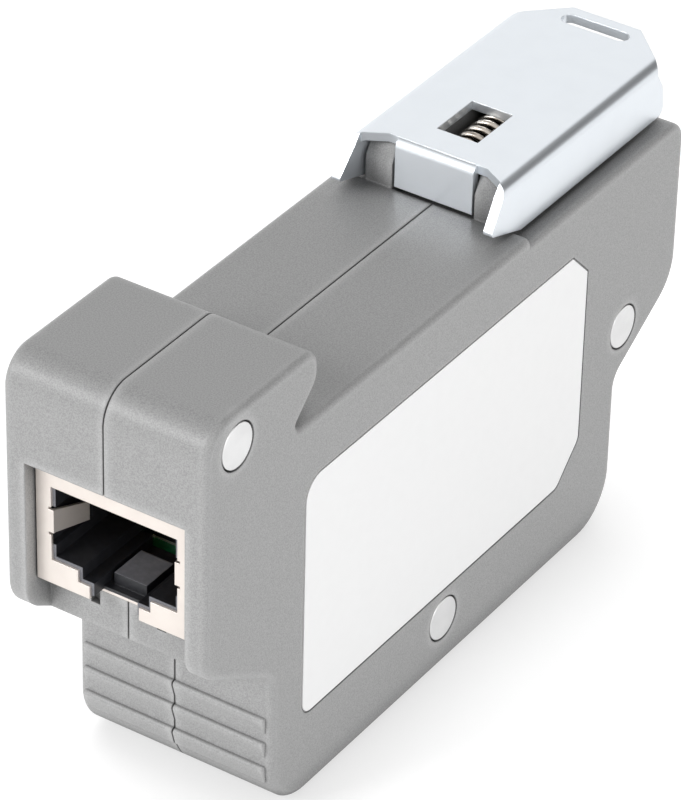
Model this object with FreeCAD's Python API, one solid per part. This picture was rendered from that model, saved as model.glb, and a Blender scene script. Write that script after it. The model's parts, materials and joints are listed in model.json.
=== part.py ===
import FreeCAD, Part
import math
import os
from FreeCAD import Vector

# DIN rail surge protector for a network line. The device lies on its base, with the rail side up:
# X runs across its width, Y from the front socket to the rear one, Z up.

# Driving sizes of the housing
BODY_WIDTH = 19.5
BODY_LENGTH = 72.8
SEAT_HEIGHT = 37.3
DECK_DROP = 0.6
HOOK_START = 11.8
HOOK_REACH = 3.65
HOOK_RISE = 3.5
HEAD_LIP = 3.0
GRIP_INSET = 9.6
LIP_DROP = 2.2
LIP_SLOPE = 5.8
WALL = 1.6
EDGE_ROUND = 0.6
BASE_ROUND = 5.0
END_ROUND = 3.0
REAR_END_ROUND = 4.7
REAR_TOP_ROUND = 2.0
HEAD_FRONT_ROUND = 3.0
HEAD_REAR_ROUND = 1.65
HOOK_ROUND = 2.0
VALLEY_ROUND = 2.0
SEAT_CORNER_ROUND = 0.5

# Grip ribs across both ends, like shingles, spaced by a share of the grip's height
RIB_COUNT = 3
RIB_SPACES = 5.8
RIB_TOP_SPACES = 1.7
RIB_ROUND = 0.3
RIB_SHARE = 0.68
RIB_PROUD = 0.5
RIB_MARGIN = 0.7

# Parting seam between the two halves
SEAM_HALF_GAP = 0.07
SEAM_DEPTH = 0.35

# Line sockets
SOCKET_SIDE = 2.0
SOCKET_DROP = 3.0
SOCKET_HEIGHT = 11.8
SOCKET_SET_BACK = 1.27
SILL_SET_BACK = 3.2
SILL_TAB_WIDTH = 5.6
SILL_TAB_DROP = 0.3
SILL_NOTCH_WIDTH = 0.9
SILL_NOTCH_DROP = 1.6
SILL_NOTCH_DEPTH = 0.6
JACK_CLEARANCE = 0.15
JACK_DEPTH = 16.0
SHIELD_SHEET = 0.25
WINDOW_SIDE = 1.6
WINDOW_DROP = 2.35
WINDOW_RISE = 2.3
KEY_WIDTH = 7.1
KEY_RISE = 1.2
LATCH_WIDTH = 4.85
INSERT_CLEARANCE = 0.1
MOUTH_LIP = 0.3
FLOOR_SHORT = 0.4
FLOOR_SLOT_WIDTH = 6.4
FLOOR_SLOT_LENGTH = 1.6
FLOOR_SLOT_BEHIND = 8.23
TAIL_ROOM = 3.4
LEAF_RISE = 5.0
LEAF_HEIGHT = 2.2
LEAF_REACH = 4.1
LEAF_LEAN = 0.55
LEAF_DROOP = 1.0
LEAF_TAPER = 0.2
LEAF_SLIT = 0.25
RAMP_WIDTH = 3.2
RAMP_RISE = 1.1
RAMP_START = 2.0
RAMP_LENGTH = 3.7
PEG_RADIUS = 1.2
PEG_SIDE = 2.05
PEG_AHEAD = 4.07

# Socket contacts
CONTACT_COUNT = 8
CONTACT_SIDE = 2.07
CONTACT_WIDTH = 0.45
CONTACT_THICK = 0.3
CONTACT_DROP = 2.0
CONTACT_REACH = 5.4
CONTACT_RUN = 4.6

# Circuit board and what it carries
BOARD_THICK = 1.6
BOARD_CLEARANCE = 0.2
BOARD_RAIL = 0.9
BOARD_RAIL_HEIGHT = 1.0
TUBE_COUNT = 4
TUBE_RADIUS = 2.6
TUBE_LENGTH = 9.6
TUBE_STAND_OFF = 0.8
TUBE_PITCH = 8.6
TUBE_RING = 1.3
TUBE_NECK = 0.25
TUBE_LEAD = 0.7
DIODE_COUNT = 4
DIODE_LENGTH = 4.9
DIODE_WIDTH = 3.9
DIODE_HEIGHT = 1.6
DIODE_LEG_WIDTH = 0.42
DIODE_LEG_REACH = 0.95
DIODE_LEG_THICK = 0.2
DIODE_LEG_ROOT = 0.2
DIODE_STAND_OFF = 0.15
DIODE_LEG_PITCH = 1.27
DIODE_LEGS = 4
DIODE_PITCH = 6.1
DIODE_BEHIND = 3.13
DIODE_SIDE = 5.15

# Earth strap and its screw
STRAP_WIDTH = 4.0
STRAP_THICK = 0.4
STRAP_FOOT = 2.0
STRAP_SIDE = 4.55
STRAP_AHEAD = 0.6
SCREW_BOSS_RADIUS = 2.3
SCREW_BOSS_LENGTH = 3.4
SCREW_RADIUS = 1.2
SCREW_FIT = 0.05
SCREW_HEAD_RADIUS = 2.1
SCREW_HEAD_HEIGHT = 1.4
SCREW_LENGTH = 3.0
SCREW_TIP_GAP = 0.3
SCREW_SLOT_WIDTH = 0.6
SCREW_SLOT_DEPTH = 0.6

# Rivets through both halves
HEAD_RIVET_SET_BACK = 4.25
HEAD_RIVET_DROP = 3.2
BASE_RIVET_AHEAD = 0.8
BASE_RIVET_HEIGHT = 4.8
REAR_RIVET_SHORT = 8.8
REAR_RIVET_DROP = 0.8
RIVET_HEAD_RADIUS = 2.03
RIVET_HEAD_THICK = 1.0
RIVET_SHANK_RADIUS = 1.2
RIVET_FIT = 0.05
RIVET_RING = 0.15
BOSS_RADIUS = 2.6

# Label on the right side
LABEL_FRONT = 14.0
LABEL_SHORT = 15.7
LABEL_LOW = 8.0
LABEL_DROP = 5.8
LABEL_THICK = 0.12
LABEL_GAP = 0.18
LABEL_TOP_ROUND = 2.1
LABEL_LOW_ROUND = 1.2
LABEL_TOP_CHAMFER = 2.6
LABEL_LOW_CHAMFER = 3.4

# Sliding rail foot, placed from the housing's rear end
FOOT_SHEET = 0.85
FOOT_SIDE = 1.95
FOOT_RISE = 4.95
FOOT_DECK_GAP = 0.45
FOOT_REACH = 25.7
FOOT_FOLD_AHEAD = 0.8
FOOT_TIP_AHEAD = 3.6
FOOT_TIP_RISE = 1.5
FOOT_HEEL_BEHIND = 1.1
FOOT_BEND = 1.2
FOOT_FLARE = 0.35
FOOT_TIP_ROUND = 0.3
FOOT_HEEL_ROUND = 0.8
FOOT_END_ROUND = 1.5
FOOT_FLANGE_SHORT = 1.2
FOOT_SHOULDER_SHORT = 1.9
FOOT_OVERHANG = 2.4
FOOT_REAR_WIDTH = 6.9
FOOT_TRAVEL = 4.2
TONGUE_WIDTH = 7.8
TONGUE_GAP = 0.3
RELIEF_SET_BACK = 0.6
RELIEF_WIDTH = 9.8
PULL_SLOT_LENGTH = 6.8
PULL_SLOT_WIDTH = 1.6
PULL_SLOT_EDGE = 2.0
VIEW_WINDOW_WIDTH = 4.1
VIEW_WINDOW_LENGTH = 5.6
VIEW_WINDOW_BEHIND = 3.6
HOOK_LIP_BEHIND = 7.9
HOOK_LIP_LENGTH = 11.8
HOOK_LIP_REACH = 1.4

# Guide block on the deck, under the foot
GUIDE_SHORT = 2.4
GUIDE_CLEARANCE = 0.12
LUG_RISE = 2.4
LUG_LEAN = 0.9
SPRING_RADIUS = 2.0
SPRING_WIRE = 0.6
SPRING_WIRE_SIDES = 6
SPRING_PITCH = 1.2
SPRING_LENGTH = 12.4
SPRING_SIDE_GAP = 0.3
SPRING_TOP_GAP = 0.1
SEAT_GAP = 0.05

# Housing sizes that follow from the ones above
HALF = BODY_WIDTH / 2
INNER_HALF = HALF - WALL
DECK_HEIGHT = SEAT_HEIGHT - DECK_DROP
HOOK_HEIGHT = SEAT_HEIGHT + HOOK_RISE
HEAD_HEIGHT = HOOK_HEIGHT + HEAD_LIP
HEAD_DEPTH = HOOK_START + HOOK_REACH
SOCKET_TOP = SEAT_HEIGHT - SOCKET_DROP
SOCKET_FLOOR = SOCKET_TOP - SOCKET_HEIGHT
LIP_HIGH = SOCKET_FLOOR - LIP_DROP
LIP_LOW = LIP_HIGH - LIP_SLOPE
RIB_PITCH = LIP_LOW / RIB_SPACES
RIB_TOP = LIP_LOW - RIB_TOP_SPACES * RIB_PITCH
RIB_LOW = RIB_TOP - RIB_COUNT * RIB_PITCH
SILL_BACK = SILL_SET_BACK + WALL
RIVETS = {
    "rivet_head": (HEAD_RIVET_SET_BACK, HEAD_HEIGHT - HEAD_RIVET_DROP),
    "rivet_base": (BODY_LENGTH / 2 - BASE_RIVET_AHEAD, BASE_RIVET_HEIGHT),
    "rivet_rear": (BODY_LENGTH - REAR_RIVET_SHORT, LIP_HIGH - REAR_RIVET_DROP),
}
LABEL_REAR = BODY_LENGTH - LABEL_SHORT
LABEL_HIGH = SEAT_HEIGHT - LABEL_DROP

# Socket sizes that follow
SOCKET_WIDTH = BODY_WIDTH - 2 * SOCKET_SIDE
WINDOW_WIDTH = SOCKET_WIDTH - 2 * WINDOW_SIDE
WINDOW_TOP = SOCKET_TOP - WINDOW_DROP
WINDOW_LOW = SOCKET_FLOOR + WINDOW_RISE
KEY_LOW = SOCKET_FLOOR + KEY_RISE
LEAF_LOW = SOCKET_FLOOR + LEAF_RISE
LEAF_HIGH = LEAF_LOW + LEAF_HEIGHT
CONTACT_PITCH = (WINDOW_WIDTH - 2 * CONTACT_SIDE) / CONTACT_COUNT
JACK_BACK = SOCKET_SET_BACK + JACK_DEPTH
MOUTH_DEPTH = JACK_DEPTH - TAIL_ROOM
FLOOR_EDGE = SILL_SET_BACK - FLOOR_SHORT
FLOOR_SLOT_Y = SOCKET_SET_BACK + FLOOR_SLOT_BEHIND
PEG_SPACING = SOCKET_WIDTH - 2 * PEG_SIDE
PEG_SET_BACK = JACK_BACK - PEG_AHEAD

# Foot and guide sizes that follow
FOOT_WIDTH = BODY_WIDTH - 2 * FOOT_SIDE
FOOT_HALF = FOOT_WIDTH / 2
FOOT_INNER = FOOT_HALF - FOOT_SHEET
FOOT_TOP = SEAT_HEIGHT + FOOT_RISE
FOOT_UNDER = FOOT_TOP - FOOT_SHEET
FOOT_LOW = DECK_HEIGHT + FOOT_DECK_GAP
TONGUE_Y = BODY_LENGTH - FOOT_REACH
TONGUE_BACK = TONGUE_Y + FOOT_SHEET
TONGUE_LOW = SEAT_HEIGHT + TONGUE_GAP
RELIEF_Y = TONGUE_Y + RELIEF_SET_BACK
FOOT_FOLD_Y = TONGUE_Y - FOOT_FOLD_AHEAD
FOOT_TIP_Y = TONGUE_Y - FOOT_TIP_AHEAD
FOOT_TIP_Z = FOOT_LOW + FOOT_TIP_RISE
FOOT_HEEL_Y = TONGUE_Y + FOOT_HEEL_BEHIND
FOOT_FLANGE_END = BODY_LENGTH - FOOT_FLANGE_SHORT
FOOT_SHOULDER_Y = BODY_LENGTH - FOOT_SHOULDER_SHORT
FOOT_REAR_Y = BODY_LENGTH + FOOT_OVERHANG
PULL_SLOT_Y = FOOT_REAR_Y - PULL_SLOT_EDGE
VIEW_WINDOW_FRONT = TONGUE_Y + VIEW_WINDOW_BEHIND
VIEW_WINDOW_REAR = VIEW_WINDOW_FRONT + VIEW_WINDOW_LENGTH
HOOK_LIP_FRONT = TONGUE_Y + HOOK_LIP_BEHIND
HOOK_LIP_REAR = HOOK_LIP_FRONT + HOOK_LIP_LENGTH
GUIDE_REAR = BODY_LENGTH - GUIDE_SHORT
GUIDE_TOP = FOOT_UNDER - GUIDE_CLEARANCE
GUIDE_HALF = FOOT_INNER - GUIDE_CLEARANCE
LUG_SHOULDER = SEAT_HEIGHT + LUG_RISE
BAY_HALF = TONGUE_WIDTH / 2 + 2 * GUIDE_CLEARANCE
BAY_REAR = TONGUE_BACK + FOOT_TRAVEL + 2 * GUIDE_CLEARANCE
CHANNEL_HALF = SPRING_RADIUS + SPRING_SIDE_GAP
SPRING_FRONT = TONGUE_BACK + SEAT_GAP
SPRING_BACK = SPRING_FRONT + SPRING_LENGTH
SPRING_Z = FOOT_UNDER - SPRING_TOP_GAP - SPRING_RADIUS

# Places inside that follow
BOARD_TOP = SOCKET_FLOOR
BOARD_LOW = BOARD_TOP - BOARD_THICK
DIODE_START = JACK_BACK + DIODE_BEHIND
DIODE_X = DIODE_SIDE - INNER_HALF
STRAP_X = INNER_HALF - STRAP_SIDE
STRAP_Y = TONGUE_Y - STRAP_AHEAD

# The origin is midway along the whole length, foot included
ORIGIN_Y = FOOT_REAR_Y / 2


def box(x0, x1, y0, y1, z0, z1):
    """Box between two corners."""
    return Part.makeBox(x1 - x0, y1 - y0, z1 - z0, Vector(x0, y0, z0))


def turn(before, corner, after):
    """Signed turn of the outline at a corner, in radians, positive to the left."""
    first = math.atan2(corner[1] - before[1], corner[0] - before[0])
    second = math.atan2(after[1] - corner[1], after[0] - corner[0])
    return (second - first + math.pi) % (2 * math.pi) - math.pi


def neighbours(corners):
    """Each corner with the one before and the one after it."""
    count = len(corners)
    return [(corners[i - 1], corners[i], corners[(i + 1) % count]) for i in range(count)]


def toward(start, end, distance):
    """Point at a distance from start on the way to end."""
    length = math.hypot(end[0] - start[0], end[1] - start[1])
    share = distance / length
    return (start[0] + (end[0] - start[0]) * share, start[1] + (end[1] - start[1]) * share)


def rounded_wire(corners, place):
    """Closed wire through (u, v, radius) corners, where place turns a flat point into a vector."""
    arcs = []
    for before, corner, after in neighbours(corners):
        angle = abs(turn(before, corner, after))
        reach = corner[2] * math.tan(angle / 2)
        start = toward(corner, before, reach)
        end = toward(corner, after, reach)
        middle = ((start[0] + end[0]) / 2, (start[1] + end[1]) / 2)
        bulge = corner[2] * (1 / math.cos(angle / 2) - 1)
        top = toward(corner, middle, bulge) if corner[2] else corner[:2]
        arcs.append((start, top, end, corner[2]))
    edges = []
    for i, (start, top, end, radius) in enumerate(arcs):
        if radius:
            edges.append(Part.Arc(place(start), place(top), place(end)).toShape())
        following = arcs[(i + 1) % len(arcs)][0]
        edges.append(Part.LineSegment(place(end), place(following)).toShape())
    return Part.Wire(edges)


def side_prism(corners, x0, x1):
    """Solid with an outline of (y, z, radius) corners, from x0 to x1."""
    face = Part.Face(rounded_wire(corners, lambda p: Vector(x0, p[0], p[1])))
    return face.extrude(Vector(x1 - x0, 0, 0))


def plan_prism(corners, z0, z1):
    """Solid with an outline of (x, y, radius) corners, from z0 to z1."""
    face = Part.Face(rounded_wire(corners, lambda p: Vector(p[0], p[1], z0)))
    return face.extrude(Vector(0, 0, z1 - z0))


def front_prism(corners, y0, y1):
    """Solid with an outline of (x, z, radius) corners, from y0 to y1."""
    face = Part.Face(rounded_wire(corners, lambda p: Vector(p[0], y0, p[1])))
    return face.extrude(Vector(0, y1 - y0, 0))


def inset(corners, depth):
    """The same outline moved inwards by depth, for corners that run anticlockwise."""
    moved = []
    for before, corner, after in neighbours(corners):
        angle = turn(before, corner, after)
        heading = math.atan2(corner[1] - before[1], corner[0] - before[0])
        bisector = heading + angle / 2 + math.pi / 2
        reach = depth / math.cos(angle / 2)
        radius = corner[2] - depth if angle > 0 else corner[2] + depth
        point = (corner[0] + reach * math.cos(bisector), corner[1] + reach * math.sin(bisector))
        moved.append((point[0], point[1], max(radius, 0.0)))
    return moved


def rod(x0, x1, y, z, radius):
    """Round bar along X."""
    return Part.makeCylinder(radius, x1 - x0, Vector(x0, y, z), Vector(1, 0, 0))


def mirrored(solid):
    """The same solid on the other side of the parting plane."""
    return solid.mirror(Vector(0, 0, 0), Vector(1, 0, 0))


def both_sides(solid):
    """A solid and its mirror image."""
    return [solid, mirrored(solid)]


def from_rear(solid):
    """A front socket's solid turned half round, to the rear end."""
    turned = solid.copy()
    turned.rotate(Vector(0, BODY_LENGTH / 2, 0), Vector(0, 0, 1), 180)
    return turned


def side_outline(top):
    """Housing seen from the side, anticlockwise, with the face behind the hook at height top."""
    return [
        (GRIP_INSET, 0, BASE_ROUND),
        (BODY_LENGTH - GRIP_INSET, 0, BASE_ROUND),
        (BODY_LENGTH - GRIP_INSET, LIP_LOW, VALLEY_ROUND),
        (BODY_LENGTH, LIP_HIGH, REAR_END_ROUND),
        (BODY_LENGTH, top, REAR_TOP_ROUND),
        (HOOK_START, top, SEAT_CORNER_ROUND),
        (HEAD_DEPTH, HOOK_HEIGHT, HOOK_ROUND),
        (HEAD_DEPTH, HEAD_HEIGHT, HEAD_REAR_ROUND),
        (0, HEAD_HEIGHT, HEAD_FRONT_ROUND),
        (0, LIP_HIGH, END_ROUND),
        (GRIP_INSET, LIP_LOW, VALLEY_ROUND),
    ]


def soft_half(top):
    """Right half of the full form, with its outer side edge rounded."""
    solid = side_prism(side_outline(top), 0, HALF)
    rim = [edge for edge in solid.Edges if edge.BoundBox.XMin > HALF - 0.001]
    return solid.makeFillet(EDGE_ROUND, rim)


def outer_half():
    """Full form of the right half, with a lower deck behind the lugs."""
    reach = BODY_LENGTH + HEAD_HEIGHT
    deck = box(-1, HALF + 1, TONGUE_Y, reach, SOCKET_TOP, reach)
    return soft_half(SEAT_HEIGHT).cut(deck).fuse(soft_half(DECK_HEIGHT).common(deck))


def grip_ribs():
    """Shingle-like ribs across the front grip and the rear grip, each proud near its top."""
    ribs = []
    for i in range(RIB_COUNT):
        top = RIB_TOP - i * RIB_PITCH
        low = top - RIB_SHARE * RIB_PITCH
        corners = [
            (GRIP_INSET - RIB_PROUD, top, RIB_ROUND),
            (GRIP_INSET, low, 0),
            (GRIP_INSET + WALL / 2, low, 0),
            (GRIP_INSET + WALL / 2, top, 0),
        ]
        rib = side_prism(corners, 0, HALF - RIB_MARGIN)
        ribs += [rib, from_rear(mirrored(rib))]
    return ribs


def sill_block():
    """Wall below a front socket, up to its jack."""
    return box(-1, HALF, -1, SILL_BACK, -1, SOCKET_FLOOR - SILL_TAB_DROP)


def cavity():
    """Hollow of the right half."""
    hollow = side_prism(inset(side_outline(DECK_HEIGHT), WALL), 0, INNER_HALF)
    return hollow.cut(sill_block()).cut(from_rear(sill_block()))


def socket_recess():
    """Pocket in front of a socket, open downwards, the hole that its jack fills and two sill notches."""
    half_width = SOCKET_WIDTH / 2
    floor = SOCKET_FLOOR - SILL_TAB_DROP
    pocket = box(-half_width, half_width, -1, SILL_SET_BACK, 0, SOCKET_TOP)
    hole = box(-half_width, half_width, -1, SILL_BACK + 1, floor, SOCKET_TOP)
    cuts = [hole]
    for x in (-SILL_TAB_WIDTH / 2 - SILL_NOTCH_WIDTH, SILL_TAB_WIDTH / 2):
        cuts.append(box(x, x + SILL_NOTCH_WIDTH, -1, SILL_SET_BACK + SILL_NOTCH_DEPTH,
                        floor - SILL_NOTCH_DROP, floor + 1))
    return pocket.fuse(cuts)


def board_rails():
    """Ledges above and below the edge of the circuit board."""
    start = JACK_BACK + 1
    end = BODY_LENGTH - start
    inner = INNER_HALF - BOARD_CLEARANCE - BOARD_RAIL
    sunk = INNER_HALF + WALL / 2
    low = box(inner, sunk, start, end, BOARD_LOW - BOARD_RAIL_HEIGHT, BOARD_LOW)
    high = box(inner, sunk, start, end, BOARD_TOP, BOARD_TOP + BOARD_RAIL_HEIGHT)
    return [low, high]


def guide_block():
    """Half of the block that the foot slides on, with its lug, tongue bay and spring channel."""
    plan = [
        (BAY_HALF, TONGUE_Y, 0),
        (GUIDE_HALF, TONGUE_Y, 0),
        (GUIDE_HALF, GUIDE_REAR, 0),
        (0, GUIDE_REAR, 0),
        (0, SPRING_BACK + SEAT_GAP, 0),
        (CHANNEL_HALF, SPRING_BACK + SEAT_GAP, 0),
        (CHANNEL_HALF, BAY_REAR, 0),
        (BAY_HALF, BAY_REAR, 0),
    ]
    block = plan_prism(plan, DECK_HEIGHT - DECK_DROP, GUIDE_TOP)
    nose = [
        (TONGUE_Y - 1, LUG_SHOULDER - (GUIDE_TOP - LUG_SHOULDER) / LUG_LEAN, 0),
        (TONGUE_Y + LUG_LEAN, GUIDE_TOP, 0),
        (TONGUE_Y + LUG_LEAN, GUIDE_TOP + 1, 0),
        (TONGUE_Y - 1, GUIDE_TOP + 1, 0),
    ]
    block = block.cut(side_prism(nose, -1, HALF))
    groove_half = FOOT_INNER - HOOK_LIP_REACH - GUIDE_CLEARANCE
    groove = box(groove_half, HALF, HOOK_LIP_FRONT - 2 * GUIDE_CLEARANCE, GUIDE_REAR + 1,
                 DECK_HEIGHT, FOOT_LOW + FOOT_SHEET + GUIDE_CLEARANCE)
    return block.cut(groove)


def rivet_cut(y, z):
    """Bore and sunk seat for a rivet, in the right half."""
    bore = rod(-1, HALF + 1, y, z, RIVET_SHANK_RADIUS + RIVET_FIT)
    return bore.fuse(rod(HALF - RIVET_HEAD_THICK, HALF + 1, y, z, RIVET_HEAD_RADIUS + RIVET_RING))


def seam_cut():
    """Thin groove along the parting line and the sills, left closed under both overhangs."""
    outline = side_outline(SEAT_HEIGHT)
    ring = side_prism(outline, -1, SEAM_HALF_GAP)
    ring = ring.fuse(box(-1, SEAM_HALF_GAP, -1, GRIP_INSET + SEAM_DEPTH, RIB_LOW, RIB_TOP))
    ring = ring.fuse(box(-1, SEAM_HALF_GAP, BODY_LENGTH - GRIP_INSET - SEAM_DEPTH, BODY_LENGTH, RIB_LOW, RIB_TOP))
    ring = ring.cut(side_prism(inset(outline, SEAM_DEPTH), -2, HALF))
    under = box(-2, HALF, -1, GRIP_INSET + SEAM_DEPTH, LIP_LOW - VALLEY_ROUND, LIP_HIGH)
    sill = box(-1, SEAM_HALF_GAP, 0, SILL_SET_BACK + SEAM_DEPTH, LIP_LOW, SOCKET_FLOOR)
    return ring.cut(under).cut(from_rear(under)).fuse([sill, from_rear(mirrored(sill))])


def screw_boss():
    """Boss under the deck that takes the earth screw."""
    roof = DECK_HEIGHT - WALL
    low = roof - SCREW_BOSS_LENGTH
    boss = Part.makeCylinder(SCREW_BOSS_RADIUS, SCREW_BOSS_LENGTH + WALL / 2, Vector(STRAP_X, STRAP_Y, low))
    return boss.cut(Part.makeCylinder(SCREW_RADIUS + SCREW_FIT, SCREW_LENGTH, Vector(STRAP_X, STRAP_Y, low)))


def half_shell():
    """Right half of the housing, as both halves have it."""
    shell = outer_half().fuse(grip_ribs())
    shell = shell.cut(cavity())
    shell = shell.cut([socket_recess(), from_rear(socket_recess())])
    added = [guide_block()] + board_rails()
    added += [rod(0, HALF - WALL / 2, y, z, BOSS_RADIUS) for y, z in RIVETS.values()]
    shell = shell.fuse(added)
    shell = shell.cut([rivet_cut(y, z) for y, z in RIVETS.values()])
    return shell.cut(seam_cut()).removeSplitter()


def label_outline(grow):
    """Label seen from the right side, anticlockwise, grown on every side."""
    corners = [
        (LABEL_FRONT, LABEL_LOW, LABEL_LOW_ROUND),
        (LABEL_REAR - LABEL_LOW_CHAMFER, LABEL_LOW, LABEL_LOW_ROUND),
        (LABEL_REAR, LABEL_LOW + LABEL_LOW_CHAMFER, LABEL_LOW_ROUND),
        (LABEL_REAR, LABEL_HIGH - LABEL_TOP_CHAMFER, 0),
        (LABEL_REAR - LABEL_TOP_CHAMFER, LABEL_HIGH, 0),
        (LABEL_FRONT, LABEL_HIGH, LABEL_TOP_ROUND),
    ]
    return inset(corners, -grow)


def housing_right():
    """Right half, with the sunk field of the label and the earth screw's boss."""
    field = side_prism(label_outline(LABEL_GAP), HALF - LABEL_THICK, HALF + 1)
    return half_shell().cut(field).fuse(screw_boss())


def housing_left():
    """Left half."""
    return mirrored(half_shell())


def label():
    """Bare label, flush in its field."""
    return side_prism(label_outline(0), HALF - LABEL_THICK, HALF)


def rivet(y, z):
    """Rivet with a flush head on each side."""
    shank = rod(-HALF, HALF, y, z, RIVET_SHANK_RADIUS)
    right = rod(HALF - RIVET_HEAD_THICK, HALF, y, z, RIVET_HEAD_RADIUS)
    left = rod(-HALF, RIVET_HEAD_THICK - HALF, y, z, RIVET_HEAD_RADIUS)
    return shank.fuse([left, right]).removeSplitter()


def mouth_outline(grow, top, floor):
    """Plug opening seen from the front, with its key and latch steps, grown on every side."""
    half_width = WINDOW_WIDTH / 2 + grow
    half_key = KEY_WIDTH / 2 + grow
    half_latch = LATCH_WIDTH / 2 + grow
    right = [
        (half_latch, floor, 0),
        (half_latch, KEY_LOW - grow, 0),
        (half_key, KEY_LOW - grow, 0),
        (half_key, WINDOW_LOW - grow, 0),
        (half_width, WINDOW_LOW - grow, 0),
        (half_width, top, 0),
    ]
    left = [(-x, z, radius) for x, z, radius in reversed(right)]
    return right + left


def jack_shield():
    """Folded sheet round the front jack: face with its plug opening, roof, sides and two leaves."""
    half_width = SOCKET_WIDTH / 2 - JACK_CLEARANCE
    top = SOCKET_TOP - JACK_CLEARANCE
    face = SOCKET_SET_BACK
    back = JACK_BACK
    shell = box(-half_width, half_width, face, back, SOCKET_FLOOR, top)
    inner = half_width - SHIELD_SHEET
    shell = shell.cut(box(-inner, inner, face + SHIELD_SHEET, back + 1, SOCKET_FLOOR + SHIELD_SHEET,
                          top - SHIELD_SHEET))
    shell = shell.cut(box(-inner, inner, face + SHIELD_SHEET, FLOOR_EDGE, SOCKET_FLOOR - 1, LEAF_LOW))
    shell = shell.cut(peg_rods(PEG_RADIUS + SCREW_FIT) + [tail_slot(), floor_slot()])
    mouth = mouth_outline(0, WINDOW_TOP, SOCKET_FLOOR - 1)
    shell = shell.cut(front_prism(mouth, face - 1, face + SHIELD_SHEET))
    for slit in leaf_slits():
        shell = shell.cut(both_sides(slit))
    return shell.fuse(both_sides(leaf())).removeSplitter()


def peg_rods(radius):
    """Two upright rods where the front insert's pegs go through its shield and the board."""
    return [Part.makeCylinder(radius, BOARD_THICK + 2 * SHIELD_SHEET, Vector(x, PEG_SET_BACK, BOARD_LOW))
            for x in (-PEG_SPACING / 2, PEG_SPACING / 2)]


def tail_slot():
    """Room behind the front insert's mouth for the row of contact tails."""
    half_run = CONTACT_COUNT * CONTACT_PITCH / 2
    tail = SOCKET_SET_BACK + SHIELD_SHEET + MOUTH_DEPTH
    back = JACK_BACK + 1
    return box(-half_run, half_run, tail - CONTACT_THICK, back, SOCKET_FLOOR - 1, WINDOW_TOP + MOUTH_LIP)


def floor_slot():
    """Slot through the floor behind the latch ramp, over the board."""
    half_slot = FLOOR_SLOT_WIDTH / 2
    return box(-half_slot, half_slot, FLOOR_SLOT_Y, FLOOR_SLOT_Y + FLOOR_SLOT_LENGTH, SOCKET_FLOOR - 1, WINDOW_LOW)


def leaf_slits():
    """Short slits above and below the root of the right leaf."""
    edge = WINDOW_WIDTH / 2
    face = SOCKET_SET_BACK
    slits = []
    for z in (LEAF_LOW - LEAF_SLIT, LEAF_HIGH):
        slits.append(box(edge - SHIELD_SHEET, edge + LEAF_SLIT, face, face + SHIELD_SHEET, z, z + LEAF_SLIT))
    return slits


def leaf():
    """Right leaf, bent into the plug opening and drooping towards its tip."""
    root = WINDOW_WIDTH / 2
    tip = root - LEAF_LEAN
    fold = SOCKET_SET_BACK + SHIELD_SHEET
    end = SOCKET_SET_BACK + LEAF_REACH
    plan = [
        (root - SHIELD_SHEET, SOCKET_SET_BACK, 0),
        (root, SOCKET_SET_BACK, 0),
        (root, fold, 0),
        (tip, end, 0),
        (tip - SHIELD_SHEET, end, 0),
    ]
    side = [
        (SOCKET_SET_BACK, LEAF_LOW, 0),
        (fold, LEAF_LOW, 0),
        (end, LEAF_LOW - LEAF_DROOP + LEAF_TAPER, 0),
        (end, LEAF_HIGH - LEAF_DROOP - LEAF_TAPER, 0),
        (fold, LEAF_HIGH, 0),
        (SOCKET_SET_BACK, LEAF_HIGH, 0),
    ]
    return plan_prism(plan, LEAF_LOW - LEAF_DROOP, LEAF_HIGH).common(side_prism(side, 0, root))


def leaf_pocket():
    """Room in the insert for the right leaf."""
    edge = WINDOW_WIDTH / 2
    face = SOCKET_SET_BACK
    low = LEAF_LOW - LEAF_DROOP - LEAF_SLIT
    return box(edge - LEAF_LEAN - 1, edge + LEAF_SLIT, face, face + LEAF_REACH + 1, low, LEAF_HIGH + LEAF_SLIT)


def jack_insert():
    """Moulded insert behind the shield's face, with the plug's mouth, latch ramp and two pegs."""
    half_width = SOCKET_WIDTH / 2 - JACK_CLEARANCE - SHIELD_SHEET - INSERT_CLEARANCE
    top = SOCKET_TOP - JACK_CLEARANCE - SHIELD_SHEET - INSERT_CLEARANCE
    face = SOCKET_SET_BACK + SHIELD_SHEET
    back = JACK_BACK - SHIELD_SHEET
    floor = SOCKET_FLOOR + SHIELD_SHEET
    latch_floor = floor + MOUTH_LIP
    block = box(-half_width, half_width, face, back, floor, top)
    mouth = mouth_outline(-MOUTH_LIP, WINDOW_TOP + MOUTH_LIP, latch_floor)
    ramp = box(-RAMP_WIDTH / 2, RAMP_WIDTH / 2, face + RAMP_START, face + RAMP_START + RAMP_LENGTH,
               latch_floor - MOUTH_LIP / 2, latch_floor + RAMP_RISE)
    block = block.cut([front_prism(mouth, face - 1, face + MOUTH_DEPTH), tail_slot(), floor_slot()])
    half_latch = LATCH_WIDTH / 2 - MOUTH_LIP
    block = block.cut(box(-half_latch, half_latch, face - 1, FLOOR_EDGE, SOCKET_FLOOR, latch_floor))
    block = block.cut(both_sides(leaf_pocket()))
    return block.fuse([ramp] + peg_rods(PEG_RADIUS)).removeSplitter()


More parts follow.
